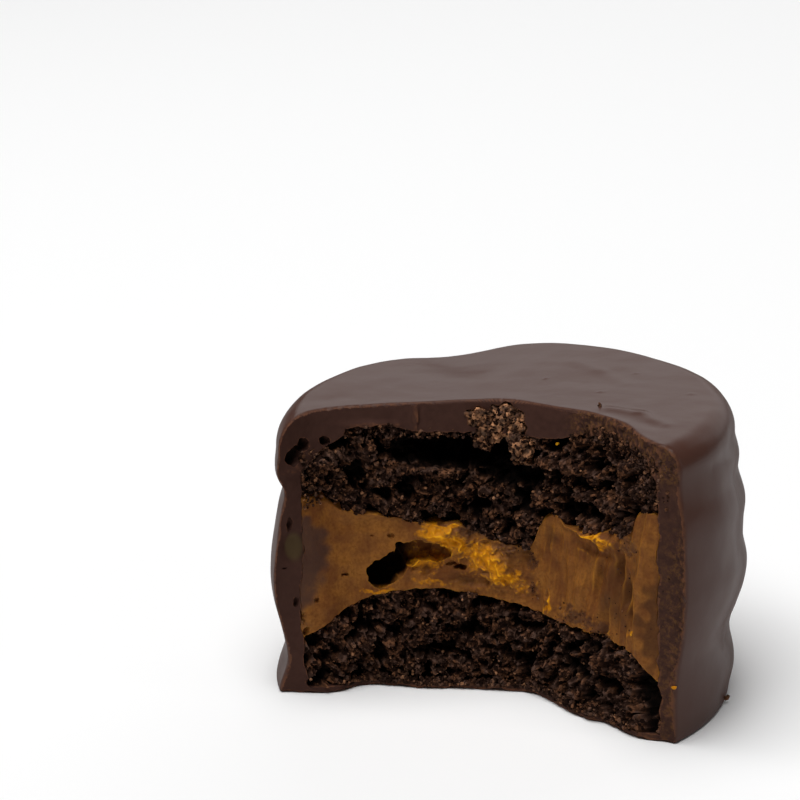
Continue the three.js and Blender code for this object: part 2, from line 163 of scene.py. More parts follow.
# A blister in its hollow, cracks and ledges in the bitten coat
BLISTER = [(150.4, 18.9, 1.1, 1.75, -0.1)]
COAT_DENTS = [(150.6, 18.9, 1.45, 2.2, 0.75)] + BLISTER + [
    (114.8, 34.0, 0.6, 1.6, -0.2), (113.4, 33.6, 0.5, 1.4, 0.14), (126.5, 32.9, 3.2, 0.5, -0.35),
    (148.9, 28.6, 2.4, 0.5, -0.2), (57, 34.4, 1.2, 0.5, 0.35), (47.5, 34.8, 0.25, 1.2, 0.35),
    (40.5, 33.2, 0.7, 0.9, 0.5),
]
# The cave in the caramel, and its blown holes
CARAMEL_HOLES = [
    (125.2, 14.1, 2.0, 2.0, 4.5, 1.9), (121.8, 15.2, 1.9, 1.9, 4.0, 1.7),
    (117.8, 16.8, 1.8, 1.8, 3.0, 1.2), (113.2, 17.2, 2.1, 1.5, 2.4, 0.8),
    (109.0, 16.9, 2.0, 1.3, 2.0, 0.6), (112.0, 15.5, 2.3, 1.3, 0.9, 0.1),
    (101.4, 15.2, 0.9, 0.45, 1.0, 0.2), (103.6, 15.6, 0.8, 0.4, 0.8, 0.1),
    (136.2, 14.3, 0.45, 0.35, 0.5, 0.0), (122.8, 19.0, 0.3, 0.2, 0.3, 0.0),
    (127.8, 18.9, 0.3, 0.2, 0.3, 0.0), (150.7, 11.3, 0.25, 0.9, 0.8, 0.1),
    (150.0, 9.7, 0.25, 1.0, 0.8, 0.1), (149.4, 8.0, 0.28, 0.9, 0.8, 0.1),
    (146.2, 11.9, 0.5, 0.45, 0.4, 0.0),
]
# Where the caramel is torn, paler and with painted highlight, where crumb sticks to it and where
# crumb has stained it, the last number saying how strongly
TORN_AND_HIGHLIT = [
    (109.5, 19.5, 2.0, 0.8, 1), (104.5, 18.2, 2.2, 1.5, 0.9), (99.5, 17.3, 1.8, 1.3, 0.7),
    (94.5, 16.8, 2.0, 1.8, 0.9), (90, 15.6, 1.6, 1.9, 1), (86, 14.2, 1.8, 1.0, 0.9),
    (106, 20.3, 2.6, 0.35, 1), (72.5, 12, 0.5, 1.8, 0.8), (57, 22.5, 4.4, 0.6, 0.95),
    (52.5, 21.6, 0.8, 0.9, 0.8), (112, 15.6, 2.4, 1.3, 0.7), (110, 13.3, 3.0, 0.4, 0.6),
    (126, 11.9, 2.2, 0.4, 0.7), (81.5, 13.2, 1.2, 0.7, 0.6), (36.6, 13.0, 0.6, 0.5, 0.8),
]
CRUMBY = [
    (79, 16.8, 1.1, 1.2, 0.8), (77.2, 13.2, 0.8, 1.2, 0.8), (59, 11.8, 3.8, 1.2, 1),
    (49, 11.0, 2.0, 1.2, 1), (96, 19.9, 3.0, 0.7, 1), (42, 23.2, 2.4, 1.4, 0.8),
    (87, 18.0, 1.8, 1.0, 0.8), (66, 10.6, 1.2, 0.6, 0.8),
]
STAINED = [
    (47, 17.5, 2.6, 5.5, 0.75), (41.5, 15.5, 1.9, 4.5, 0.8), (30.6, 15.0, 1.0, 8.0, 0.9),
    (73.5, 19.8, 0.7, 2.4, 0.7), (101, 13.8, 3.2, 1.2, 0.6), (36.5, 20.5, 1.2, 2.2, 0.6),
    (95, 19.4, 2.4, 1.0, 0.6), (83, 17.4, 1.6, 1.6, 0.6),
]

# The degrees from which chocolate is smeared over the caramel, at each height
SMEAR_START = [
    (6, 148), (9, 147), (12, 144.5), (13.5, 140.5), (16, 137), (19, 136.5), (22, 141), (24, 149),
]

# Ripples and specks on the top: both ends (x, y), height and half width
TOP_RIPPLES = [
    ((13.2, 0.3), (17.2, -0.9), 0.14, 0.9), ((17.2, -0.9), (21.1, -4.5), 0.14, 0.9),
    ((13.5, -1.6), (20.0, -5.0), -0.10, 1.2), ((3.9, 17.7), (8.0, 14.8), 0.08, 1.2),
    ((8.0, 14.8), (12.4, 10.4), 0.08, 1.2), ((-21.8, -3.2), (-20.8, -2.0), -0.12, 1.6),
    ((2.1, 10.3), (2.2, 10.4), 0.10, 0.25), ((10.3, 6.3), (10.4, 6.4), 0.08, 0.3),
    ((21.3, 7.8), (21.5, 7.9), 0.10, 0.3), ((12.6, 14.7), (12.8, 14.8), 0.08, 0.3),
]
# Creases and bulges round the side: both ends (degrees, height), height and half width
SIDE_CREASES = [
    ((-34, 31.4), (20, 30.4), -0.16, 1.9), ((-13, 33.2), (8, 31.9), -0.07, 0.5),
    ((-30, 27.6), (0, 27.2), 0.10, 2.2), ((2, 26.7), (2.4, 26.8), -0.06, 0.5),
    ((-20, 9.6), (0, 8.8), -0.05, 1.3), ((0, 8.8), (25, 9.6), -0.07, 1.3),
]

# The crumb caught in the coat over the hollow: degrees, height, half width, half height, half
# depth, how far in
CLUMPS = [
    (97.6, 33.7, 1.5, 1.2, 1.4, 0.8), (94.6, 32.2, 1.9, 1.7, 1.5, 0.9),
    (91.6, 34.1, 1.9, 1.3, 1.5, 0.8), (88.2, 34.2, 1.5, 1.2, 1.4, 0.7),
    (87.0, 32.2, 1.2, 1.6, 1.4, 0.6), (85.4, 30.2, 1.1, 1.7, 1.3, 0.6),
    (96.4, 30.9, 1.1, 1.0, 1.2, 0.9),
]
CLUMP_ROOM = 0.3                         # between it and the coat

# Loose crumbs over patches of the bitten face: degrees, heights, how many, the smallest, the
# largest, how far in
FOOT_CRUMBS = [
    ((35, 140), (0.6, 1.5), 700, 0.12, 0.36, 0.0), ((35, 140), (0.5, 1.0), 400, 0.10, 0.28, 0.0),
]
HOLLOW_CRUMBS = ((98, 128), (31.2, 32.4), 300, 0.08, 0.28, 0.3)
EDGE_CRUMBS = [
    ((32, 66), (33.4, 35.2), 260, 0.10, 0.30, 0.0), ((30, 42), (29, 34.5), 120, 0.10, 0.32, 0.0),
    ((141, 147), (23.5, 30.5), 160, 0.10, 0.32, 0.0),
]
# Crumbs on the top and beside the foot
STRAY_CRUMBS = [(11.8, 0.8, 36.62), (11.75, 0.8, 36.95), (29.0, 0.6, 0.75)]
STRAY_SIZES = [0.42, 0.26, 0.42]
STUCK_GRAINS = 16                        # in each patch of caramel that crumb sticks to

# Bits of caramel on the cake and the coat: degrees, height, how far in
CARAMEL_BITS = [(74.6, 31.8, 0.4), (27.4, 7.3, 0.0), (37.2, 12.6, 0.1), (60.5, 33.6, 0.3)]
CARAMEL_BIT_SIZES = [0.2, 0.32, 0.26, 0.2]

# ---- facets: how long their sides are, and how many stand where nothing shows -------------------

OUTSIDE_PITCH, OUTSIDE_ROUND_PITCH = 0.33, 0.43
CAVITY_PITCH = 0.32
CORE_PITCH, CORE_ROUND_PITCH = 0.4, 0.6
LAYER_PITCH = 0.25
BITTEN_COAT_PITCH, BITTEN_CARAMEL_PITCH, BITTEN_CAKE_PITCH = 0.17, 0.12, 0.105
COAT_FLOOR_RINGS = 10
FRONT_COLUMNS = 16                       # of the cutting tools, in front of the cookie

# ---- the camera, at the side that the bite faces ------------------------------------------------

CAMERA_AT = Vector((81.9, -267.8, 126.3)) * MM
CAMERA_TILT = 72.19                      # degrees up from looking straight down
CAMERA_TURN = 19.645
LENS, SENSOR = 107.67, 36                # millimetres


# ---- numbers ------------------------------------------------------------------------------------

def blend(low, high, share):
    return low + (high - low) * share


def smooth(value, low, high):
    share = np.clip((value - low) / (high - low), 0, 1)
    return share * share * (3 - 2 * share)


def curve(points):
    """A smooth curve through its points, level beyond the first and the last."""
    xs, ys = np.array(points, float).T
    slopes = np.zeros_like(ys)
    slopes[1:-1] = (ys[2:] - ys[:-2]) / (xs[2:] - xs[:-2])

    def at(x):
        x = np.clip(x, xs[0], xs[-1])
        i = np.clip(np.searchsorted(xs, x) - 1, 0, len(xs) - 2)
        span = xs[i + 1] - xs[i]
        share = (x - xs[i]) / span
        rise = ys[i + 1] - ys[i]
        bend = (slopes[i] * span - rise) * (1 - share) - (slopes[i + 1] * span - rise) * share
        return ys[i] + rise * share + share * (1 - share) * bend

    return at


def turn_from(angle, centre):
    """Degrees from a centre, the short way round."""
    return (angle - centre + 540) % 360 - 180


class Grain:
    """Seeded noise over points in space: soft swells, and pebbles with a centre each."""

    SIZE = 256                           # of its table of random numbers
    LIFT = 1.6                           # brings the swells to about -1 to 1

    def __init__(self, seed):
        rng = np.random.default_rng(seed)
        self.order = np.tile(rng.permutation(self.SIZE), 2)
        slopes = rng.normal(size=(self.SIZE, 3))
        self.slopes = slopes / np.linalg.norm(slopes, axis=1)[:, None]
        self.centres = rng.random((self.SIZE, 3))
        self.picks = rng.random(self.SIZE)

    def key(self, cell):
        x, y, z = (cell % self.SIZE).T
        return self.order[self.order[self.order[x] + y] + z]

    def swell(self, points, size):
        """Soft noise with swells of that size."""
        at = np.asarray(points) / size
        cell = np.floor(at).astype(int)
        inside = at - cell
        ease = inside ** 3 * (inside * (inside * 6 - 15) + 10)
        total = np.zeros(len(at))
        for corner in np.ndindex(2, 2, 2):
            corner = np.array(corner)
            slope = self.slopes[self.key(cell + corner)]
            weight = np.prod(np.where(corner, ease, 1 - ease), axis=1)
            total += weight * np.einsum("ij,ij->i", slope, inside - corner)
        return total * self.LIFT

    def pebbles(self, points, size):
        """Distance to the nearest pebble's centre, and that pebble's pick from 0 to 1."""
        at = np.asarray(points) / size
        cell = np.floor(at).astype(int)
        nearest = np.full(len(at), np.inf)
        pick = np.zeros(len(at))
        for step in np.ndindex(3, 3, 3):
            near = cell + np.array(step) - 1
            key = self.key(near)
            distance = np.linalg.norm(near + self.centres[key] - at, axis=1)
            closer = distance < nearest
            pick = np.where(closer, self.picks[key], pick)
            nearest = np.where(closer, distance, nearest)
        return nearest, pick


def swells(grain, points, *kinds):
    """Several soft noises together: amount, size and offset of each."""
    return sum(amount * grain.swell(points + offset, size) for amount, size, offset in kinds)


def polar(points, centre_y=0.0):
    """Degrees and radius of points about the upright axis through (0, centre_y)."""
    x, y = points[:, 0], points[:, 1] - centre_y
    return np.degrees(np.arctan2(y, x)), np.hypot(x, y)


def upright(angle, radius, z, centre_y=0.0):
    turn = np.radians(angle)
    return np.stack([radius * np.cos(turn), centre_y + radius * np.sin(turn), z], axis=1)


# ---- the form of the cookie ---------------------------------------------------------------------

strong_wall = curve(STRONG_WALL)
even_wall = curve(EVEN_WALL)
calm_wall = curve(CALM_WALL)
inside_right = curve(INSIDE_RIGHT)
inside_left = curve(INSIDE_LEFT)
top_coat = curve(TOP_COAT)
upper_cake_underside = curve(UPPER_CAKE_UNDERSIDE)
lower_cake_top = curve(LOWER_CAKE_TOP)
bite_at_top = curve(BITE_AT_TOP)
bite_at_floor = curve(BITE_AT_FLOOR)
smear_start = curve(SMEAR_START)


def wall_radius(angle, share):
    """The outside's radius at a share of the height."""
    away = np.radians(angle - STRONG_ANGLE)
    drift = WALL_DRIFT * np.sin(2 * away) * np.sin(np.pi * share)
    at = np.clip(share + drift, 0, WALL_TOP)
    fade = np.exp(-(turn_from(angle, STRONG_ANGLE) / STRONG_REACH) ** 2)
    waved = blend(even_wall(at), strong_wall(at), fade)
    return blend(calm_wall(at), waved, smooth((np.cos(away) + 1) / 2, 0, 1))


def top_height(x, y):
    lean = math.radians(LEAN_ANGLE)
    rise = TOP_LEAN * (x * math.cos(lean) + y * math.sin(lean))
    side = np.degrees(np.arctan2(y, x))
    wave = sum(
        high * np.exp(-(turn_from(side, at) / spread) ** 2) for at, high, spread in TOP_WAVES
    )
    return HEIGHT + rise + wave * smooth(np.hypot(x, y), FLAT_MIDDLE, TOP_RADIUS)


def inside_radius(angle, z):
    across = np.cos(np.radians(angle))
    side = np.where(across > 0, inside_right(z / HEIGHT), inside_left(z / HEIGHT))
    return blend(INSIDE_BACK, side, smooth(np.abs(across), 0.2, 0.85))


torn_edge = Grain(seed=11)


def ragged(x, y, *kinds):
    """How far a torn edge between two layers wanders up and down."""
    return swells(torn_edge, np.stack([x, y, 0 * x], axis=1), *kinds)


def coat_underside(x, y):
    return top_height(x, y) - top_coat(x) + ragged(x, y, (0.25, 2.0, 160), (0.2, 0.8, 200))


def layer_face(along, dome, x, y):
    """Height of a face between layers: as the bite shows it, and an even dome behind."""
    middle, edge, power = dome
    even = blend(middle, edge, np.clip(np.hypot(x, y) / DOME_RADIUS, 0, 1.1) ** power)
    return blend(along(x), even, smooth(y, DOME_START, DOME_END))


def caramel_top(x, y):
    wander = ragged(x, y, (0.3, 2.2, 0), (0.16, 0.8, 40))
    return layer_face(upper_cake_underside, UPPER_DOME, x, y) + wander


def caramel_floor(x, y):
    wander = ragged(x, y, (0.25, 2.4, 80), (0.16, 0.8, 120))
    return layer_face(lower_cake_top, LOWER_DOME, x, y) + wander


def bite_radius(angle, z):
    return blend(bite_at_floor(angle), bite_at_top(angle), np.clip(z / HEIGHT, 0, 1.05))


def behind_bite(points):
    """How far points lie behind the even bitten face."""
    angle, radius = polar(points, BITE_CENTRE_Y)
    return radius - bite_radius(angle, points[:, 2])


def dent_depth(dents, angle, z):
    """The depth of the strongest dent or lump at each place of the bitten face."""
    deepest = np.zeros_like(angle)
    for at, height, half_width, half_height, depth in dents:
        across = np.radians(angle - at) * bite_radius(angle, z) / half_width
        up = (z - height) / half_height
        here = depth * np.exp(-((across ** 2 + up ** 2) ** 1.5))
        deepest = np.where(np.abs(here) > np.abs(deepest), here, deepest)
    return deepest


# ---- meshes -------------------------------------------------------------------------------------

def read(mesh):
    flat = np.empty(len(mesh.vertices) * 3)
    mesh.vertices.foreach_get("co", flat)
    return flat.reshape(-1, 3)


def write(mesh, points):
    mesh.vertices.foreach_set("co", np.ascontiguousarray(points).ravel())
    mesh.update()


def normals_of(mesh):
    flat = np.empty(len(mesh.vertices) * 3)
    mesh.vertex_normals.foreach_get("vector", flat)
    return flat.reshape(-1, 3)


def keep(bm, name):
    """Ends a bmesh as an object in the scene."""
    mesh = bpy.data.meshes.new(name)
    bm.to_mesh(mesh)
    bm.free()
    piece = bpy.data.objects.new(name, mesh)
    bpy.context.scene.collection.objects.link(piece)
    return piece


def weld(piece):
    """Joins the points of a rolled sheet that meet."""
    bm = bmesh.new()
    bm.from_mesh(piece.data)
    bmesh.ops.remove_doubles(bm, verts=bm.verts, dist=1e-6)
    bm.to_mesh(piece.data)
    bm.free()


def spun_disc(name, floor_rings, wall_rings, top_rings, segments):
    """A closed disc, one high and one in radius, rolled from a sheet round an upright axis."""
    floor = np.linspace(0, 1, floor_rings + 1)
    wall = np.linspace(0, 1, wall_rings + 1)[1:-1]
    top = np.linspace(1, 0, top_rings + 1)
    out = np.concatenate([floor, 0 * wall + 1, top])
    up = np.concatenate([0 * floor, wall, 0 * top + 1])
    bm = bmesh.new()
    bmesh.ops.create_grid(bm, x_segments=segments, y_segments=len(out) - 1, size=0.5)
    piece = keep(bm, name)
    sheet = read(piece.data) + 0.5
    turn = math.tau * sheet[:, 0]
    row = np.round(sheet[:, 1] * (len(out) - 1)).astype(int)
    write(piece.data, np.stack([out[row] * np.cos(turn), out[row] * np.sin(turn), up[row]], axis=1))
    weld(piece)
    return piece


def count(length, pitch):
    """How many facets of about that pitch a length takes."""
    return max(2, round(length / (pitch * DRAFT)))


def outside_point(disc):
    """The coat's outside for points of an even disc: foot, wall, rounded rim and top."""
    angle, out = polar(disc)
    up = disc[:, 2]
    foot_end, rim_start, foot_share = 0.03, 0.87, 0.02
    in_foot, in_rim = up < foot_end, up > rim_start
    climbed = np.clip((up - foot_end) / (rim_start - foot_end), 0, 1)
    share = blend(foot_share, WALL_TOP, climbed)
    wall = wall_radius(angle, np.where(in_foot, 0, share))
    foot_bend = np.pi / 2 * np.clip(up / foot_end, 0, 1)
    rim_bend = np.pi / 2 * np.clip((up - rim_start) / (1 - rim_start), 0, 1)
    rim = blend(TOP_RADIUS, wall_radius(angle, WALL_TOP + 0 * angle), np.cos(rim_bend))
    radius = np.where(in_foot, wall - FOOT_ROUND * (1 - np.sin(foot_bend)), wall)
    radius = np.where(in_rim, rim, radius) * out
    rise = np.where(in_rim, 1 - RIM_SHARE * (1 - np.sin(rim_bend)), share)
    points = upright(angle, radius, 0 * radius)
    z = rise * top_height(points[:, 0], points[:, 1])
    points[:, 2] = np.where(in_foot, FOOT_ROUND * (1 - np.cos(foot_bend)), z)
    return points


def crowded(share, places, spread, boost):
    """Turns an even share of the round into degrees that crowd together at some places."""
    even = np.linspace(0, 360, 4 * 360 + 1)
    crowd = sum(np.exp(-(turn_from(even, place) / spread) ** 2) for place in places)
    reach = np.cumsum(1 + boost * crowd)
    reach = (reach - reach[0]) / (reach[-1] - reach[0])
    return np.interp(share, reach, even)


def core(room):
    """The space inside the wall of the coat, ragged where the bite opens it."""
    low, high, radius, girth = -2, 42, 25, 150
    bitten_ends, spread, boost = (205, 335), 14, 6
    piece = spun_disc("core", 1, count(high - low, CORE_PITCH), 1, count(girth, CORE_ROUND_PITCH))
    disc = read(piece.data)
    angle, out = polar(disc)
    turned = crowded(angle % 360 / 360, bitten_ends, spread, boost)
    z = blend(low, high, disc[:, 2])
    torn_and_highlit = swells(torn_edge, upright(turned, radius + 0 * z, z), (0.32, 2.4, 7), (0.2, 0.9, 57))
    write(piece.data, upright(turned, (inside_radius(turned, z) + torn_and_highlit - room) * out, z))
    return piece


def bitten_turn(disc, columns):
    """Degrees about the bite's centre, and the share of the radius, for the points of a disc.

    The columns stand evenly along the bite, and few stand in front of it.
    """
    angle, out = polar(disc)
    number = np.round(angle % 360 / 360 * (columns + FRONT_COLUMNS))
    along = blend(BITE_START, BITE_END, number / columns)
    in_front = blend(BITE_END, BITE_START + 360, (number - columns) / FRONT_COLUMNS)
    return np.where(number <= columns, along, in_front), out


def layer(name, floor, ceiling, pitch, room=LAYER_ROOM, seam=SEAM):
    """What lies between two faces inside the coat, its facets finest near the bite."""
    depth, length = 14, 62               # of the part with fine facets
    ring_shares, ring_radii = (0, 0.03, 0.92, 1), (0, 17, 33, 64)
    rings, columns = count(depth, pitch), count(length, pitch)
    slab = spun_disc(name, rings, 2, rings, columns + FRONT_COLUMNS)
    disc = read(slab.data)
    turned, out = bitten_turn(disc, columns)
    radius = np.interp(out, ring_shares, ring_radii)
    points = upright(turned, radius, 0 * radius, BITE_CENTRE_Y)
    x, y = points[:, 0], points[:, 1]
    points[:, 2] = blend(floor(x, y) + seam, ceiling(x, y) - seam, disc[:, 2])
    write(slab.data, points)
    cut(slab, [core(room)], "INTERSECT")
    return slab


def bite_tool(low, high, pitch, relief):
    """The space that the bite takes away between two heights, with a relief on its face."""
    columns = count(math.radians(BITE_END - BITE_START) * BITE_REACH, pitch)
    tool = spun_disc("bite", 1, count(high - low, pitch), 1, columns + FRONT_COLUMNS)
    disc = read(tool.data)
    turned, out = bitten_turn(disc, columns)
    z = blend(low, high, disc[:, 2])
    radius = bite_radius(turned, z)
    sunk, shift = relief(upright(turned, radius, z, BITE_CENTRE_Y), turned, z)
    points = upright(turned, radius + sunk, z, BITE_CENTRE_Y) + shift
    middle = out < 0.5
    points[middle] = (0, BITE_CENTRE_Y, 0)
    points[middle, 2] = z[middle]
    write(tool.data, points)
    return tool


def blob(centre, half_sizes, facing, grain, roughness, grit=0.0, fineness=4):
    """A lumpy ball: half width, half depth and half height, turned to face an angle.

    Grit roughens it with pebbles, and fineness says how often its facets are split.
    """
    bm = bmesh.new()
    bmesh.ops.create_icosphere(bm, subdivisions=fineness, radius=1)
    piece = keep(bm, "blob")
    ball = read(piece.data)
    at = ball * np.array(half_sizes) + centre
    lumps = roughness * swells(grain, at, (1, 1.3, 0), (0.5, 0.5, 50))
    if grit:
        for offset, size, strength in ((5, 0.8, grit), (15, 0.32, 0.5 * grit)):
            near, pick = grain.pebbles(at + offset, size)
            lumps -= strength * (1.2 * (near - 0.5) + pick - 0.5)
    ball = ball * (np.array(half_sizes) + lumps[:, None])
    turn = math.radians(facing)
    across = np.array((math.sin(turn), -math.cos(turn), 0))
    inward = np.array((math.cos(turn), math.sin(turn), 0))
    turned = ball[:, :1] * across + ball[:, 1:2] * inward + ball[:, 2:] * (0, 0, 1)
    write(piece.data, turned + centre)
    return piece


def cut(piece, tools, operation="DIFFERENCE"):
    """Takes the tools away from a piece, and removes them."""
    for tool in tools:
        change = piece.modifiers.new("cut", "BOOLEAN")
        change.operation = operation
        change.solver = "MANIFOLD"
        change.object = tool
    settle(piece)
    for tool in tools:
        bpy.data.objects.remove(tool)


def settle(piece):
    """Makes a piece's modifiers part of its mesh."""
    bpy.context.view_layer.update()
    graph = bpy.context.evaluated_depsgraph_get()
    done = bpy.data.meshes.new_from_object(piece.evaluated_get(graph))
    piece.modifiers.clear()
    old = piece.data
    piece.data = done
    done.name = piece.name
    bpy.data.meshes.remove(old)


def keep_largest(piece):
    """Drops what a cut left loose."""
    bm = bmesh.new()
    bm.from_mesh(piece.data)
    bmesh.ops.remove_doubles(bm, verts=bm.verts, dist=1e-5)
    bm.verts.ensure_lookup_table()
    seen = np.zeros(len(bm.verts), bool)
    groups = []
    for start in bm.verts:
        if seen[start.index]:
            continue
        seen[start.index] = True
        group, waiting = [start], [start]
        while waiting:
            for edge in waiting.pop().link_edges:
                for other in edge.verts:
                    if not seen[other.index]:
                        seen[other.index] = True
                        group.append(other)
                        waiting.append(other)
        groups.append(group)
    groups.sort(key=len)
    loose = [vert for group in groups[:-1] for vert in group]
    bmesh.ops.delete(bm, geom=loose, context="VERTS")
    bm.to_mesh(piece.data)
    bm.free()


def note(mesh, name, values):
    """Stores a number for each point, which the finishes read."""
    attribute = mesh.attributes.new(name, "FLOAT", "POINT")
    attribute.data.foreach_set("value", np.asarray(values, np.float32))


def ridges(mesh, rounds=10, hold=0.3):
    """How far each point stands out of an evened copy of the mesh."""
    ends = np.empty(len(mesh.edges) * 2, int)
    mesh.edges.foreach_get("vertices", ends)
    a, b = ends.reshape(-1, 2).T
    points = read(mesh)
    number = np.bincount(np.concatenate([a, b]), minlength=len(points))[:, None]
    even = points
    for _ in range(rounds):
        total = [
            np.bincount(a, even[b, i], len(points)) + np.bincount(b, even[a, i], len(points))
            for i in range(3)
        ]
        even = hold * even + (1 - hold) * np.stack(total, axis=1) / np.maximum(number, 1)
    return np.einsum("ij,ij->i", points - even, normals_of(mesh))


def finish_piece(piece, node, finish, sharp):
    """Notes what the finish reads, scales the piece to metres and puts it in its node's place.

    Edges sharper than so many degrees stay sharp.
    """
    mesh = piece.data
    points = read(mesh)
    note(mesh, "depth", np.clip(behind_bite(points), -2, 8))
    note(mesh, "ridge", ridges(mesh))
    mesh.transform(Matrix.Scale(MM, 4))
    mesh.shade_smooth()
    mesh.set_sharp_from_angle(angle=math.radians(sharp))
    mesh.materials.clear()
    mesh.materials.append(finish)
    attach(piece, "root")
    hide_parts(node)
    return piece


# ---- finishes -----------------------------------------------------------------------------------

class Reading:
    """A socket of a finish. Arithmetic on it adds Math nodes."""

    def __init__(self, finish, socket):
        self.finish = finish
        self.socket = socket

    def maths(self, operation, *values):
        settings = {"operation": operation}
        return self.finish.add("ShaderNodeMath", settings, dict(enumerate(values)))

    def __add__(self, other):
        return self.maths("ADD", self, other)

    __radd__ = __add__

    def __mul__(self, other):
        return self.maths("MULTIPLY", self, other)

    __rmul__ = __mul__

    def __sub__(self, other):
        return self.maths("SUBTRACT", self, other)

    def __rsub__(self, other):
        return self.maths("SUBTRACT", other, self)

    def between(self, low, high):
        """0 at low, 1 at high, and smooth in between."""
        settings = {"interpolation_type": "SMOOTHSTEP"}
        sockets = {"Value": self, "From Min": low, "From Max": high}
        return self.finish.add("ShaderNodeMapRange", settings, sockets)


class Finish:
    """A material, its nodes added one at a time."""

    # the sockets of a Mix node that mixes colours
    SHARE, FIRST, SECOND, MIXED = 0, 6, 7, 2

    def __init__(self, name):
        self.material = bpy.data.materials.new(name)
        self.material.use_nodes = True
        self.tree = self.material.node_tree
        self.tree.nodes.clear()
        self.place = self.add("ShaderNodeTexCoord", {}, {}, "Object")

    def add(self, kind, settings, sockets, output=0):
        """A node of a kind: its settings, the values or links of its sockets, and what it gives."""
        node = self.tree.nodes.new(kind)
        for name, value in settings.items():
            setattr(node, name, value)
        for name, value in sockets.items():
            if isinstance(value, Reading):
                self.tree.links.new(value.socket, node.inputs[name])
            else:
                node.inputs[name].default_value = value
        return Reading(self, node.outputs[output]) if node.outputs else None

    def noted(self, name):
        """What a mesh's points were noted with."""
        settings = {"attribute_type": "GEOMETRY", "attribute_name": name}
        return self.add("ShaderNodeAttribute", settings, {}, "Fac")

    def noise(self, size, detail=3.0, roughness=0.5, place=None):
        """Noise from 0 to 1 whose swells are size millimetres."""
        sockets = {
            "Vector": place or self.place, "Scale": 1 / (size * MM), "Detail": detail,
            "Roughness": roughness,
        }
        return self.add("ShaderNodeTexNoise", {}, sockets, "Fac")

    def cells(self, size, output="Distance"):
        sockets = {"Vector": self.place, "Scale": 1 / (size * MM)}
        return self.add("ShaderNodeTexVoronoi", {}, sockets, output)

    def stretched(self, x, y, z):
        """The place on the cookie, stretched along the axes."""
        sockets = {"Vector": self.place, "Scale": (x, y, z)}
        return self.add("ShaderNodeMapping", {"vector_type": "POINT"}, sockets)

    def mix(self, share, first, second):
        sockets = {self.SHARE: share, self.FIRST: first, self.SECOND: second}
        return self.add("ShaderNodeMix", {"data_type": "RGBA"}, sockets, self.MIXED)

    def part(self, place, axis):
        return self.add("ShaderNodeSeparateXYZ", {}, {"Vector": place}, axis)

    def bump(self, height, depth, under=None):
        """A bump of that depth in millimetres."""
        sockets = {"Height": height, "Distance": depth * MM, "Strength": 1.0}
        if under:
            sockets["Normal"] = under
        return self.add("ShaderNodeBump", {}, sockets)

    def end(self, **sockets):
        """The shader, its sockets named with _ for a space."""
        named = {name.replace("_", " "): value for name, value in sockets.items()}
        shader = self.add("ShaderNodeBsdfPrincipled", {}, named)
        self.add("ShaderNodeOutputMaterial", {}, {"Surface": shader})
        return self.material


def rgb(red, green, blue):
    return (red, green, blue, 1.0)


# Colours, in pairs from dark to pale where they are mixed
COAT_OUTSIDE = rgb(0.060, 0.0238, 0.0162), rgb(0.068, 0.0282, 0.0192)
COAT_BITTEN = rgb(0.044, 0.0198, 0.0150), rgb(0.070, 0.0325, 0.0240)
COAT_CARAMELISED = rgb(0.040, 0.0190, 0.0140), rgb(0.110, 0.0500, 0.0200)
COAT_BLISTER = rgb(0.085, 0.056, 0.026)
# paler broken edge of the coat, partly a painted highlight
COAT_PALE_EDGE_AND_HIGHLIGHT = rgb(0.150, 0.0620, 0.0330)
# painted shade, nearly black, for the hollows of the bitten coat
COAT_PAINTED_CREVICE_SHADE = rgb(0.006, 0.003, 0.002)
# painted shade for recesses deep behind the bitten face
COAT_PAINTED_RECESS_SHADE = rgb(0.010, 0.005, 0.003)

CAKE_DARK = rgb(0.010, 0.0040, 0.0025), rgb(0.032, 0.0136, 0.0082)
# paler grains, laid mostly on raised ones: grain tone and partly a painted highlight
CAKE_REDDISH = rgb(0.095, 0.0370, 0.0190), rgb(0.290, 0.1270, 0.0600)
CAKE_GREYISH = rgb(0.068, 0.0370, 0.0270), rgb(0.175, 0.1000, 0.0740)
# pale crumb of the clump and of some loose crumbs, partly a painted highlight
CAKE_PALE_AND_HIGHLIGHT = rgb(0.100, 0.0560, 0.0360), rgb(0.680, 0.3250, 0.1600)
# painted shade, nearly black, for the pores of the crumb
CAKE_PAINTED_PORE_SHADE = rgb(0.0025, 0.0012, 0.0008)
# painted shade for recesses deep behind the bitten face
CAKE_PAINTED_RECESS_SHADE = rgb(0.0020, 0.0010, 0.0007)

CARAMEL_BODY = rgb(0.158, 0.053, 0.014), rgb(0.295, 0.115, 0.022)
CARAMEL_STREAK = rgb(0.105, 0.036, 0.011)
CARAMEL_SPECK = rgb(0.085, 0.025, 0.006)
# paler torn caramel, partly a painted highlight
CARAMEL_TORN_AND_HIGHLIGHT = rgb(0.580, 0.215, 0.005)
# painted highlight on the ridges of torn caramel
CARAMEL_RIDGE_HIGHLIGHT = rgb(0.900, 0.400, 0.010)
CARAMEL_SMEARED = rgb(0.064, 0.032, 0.025)
CARAMEL_STAINED = rgb(0.062, 0.023, 0.009)
CARAMEL_CRUMBY = rgb(0.075, 0.031, 0.018)
# painted shade for hollows in the caramel
CARAMEL_PAINTED_CREVICE_SHADE = rgb(0.10, 0.030, 0.005)
# painted shade, nearly black, deep in the caramel's cave
CARAMEL_PAINTED_CAVE_SHADE = rgb(0.004, 0.0015, 0.0008)


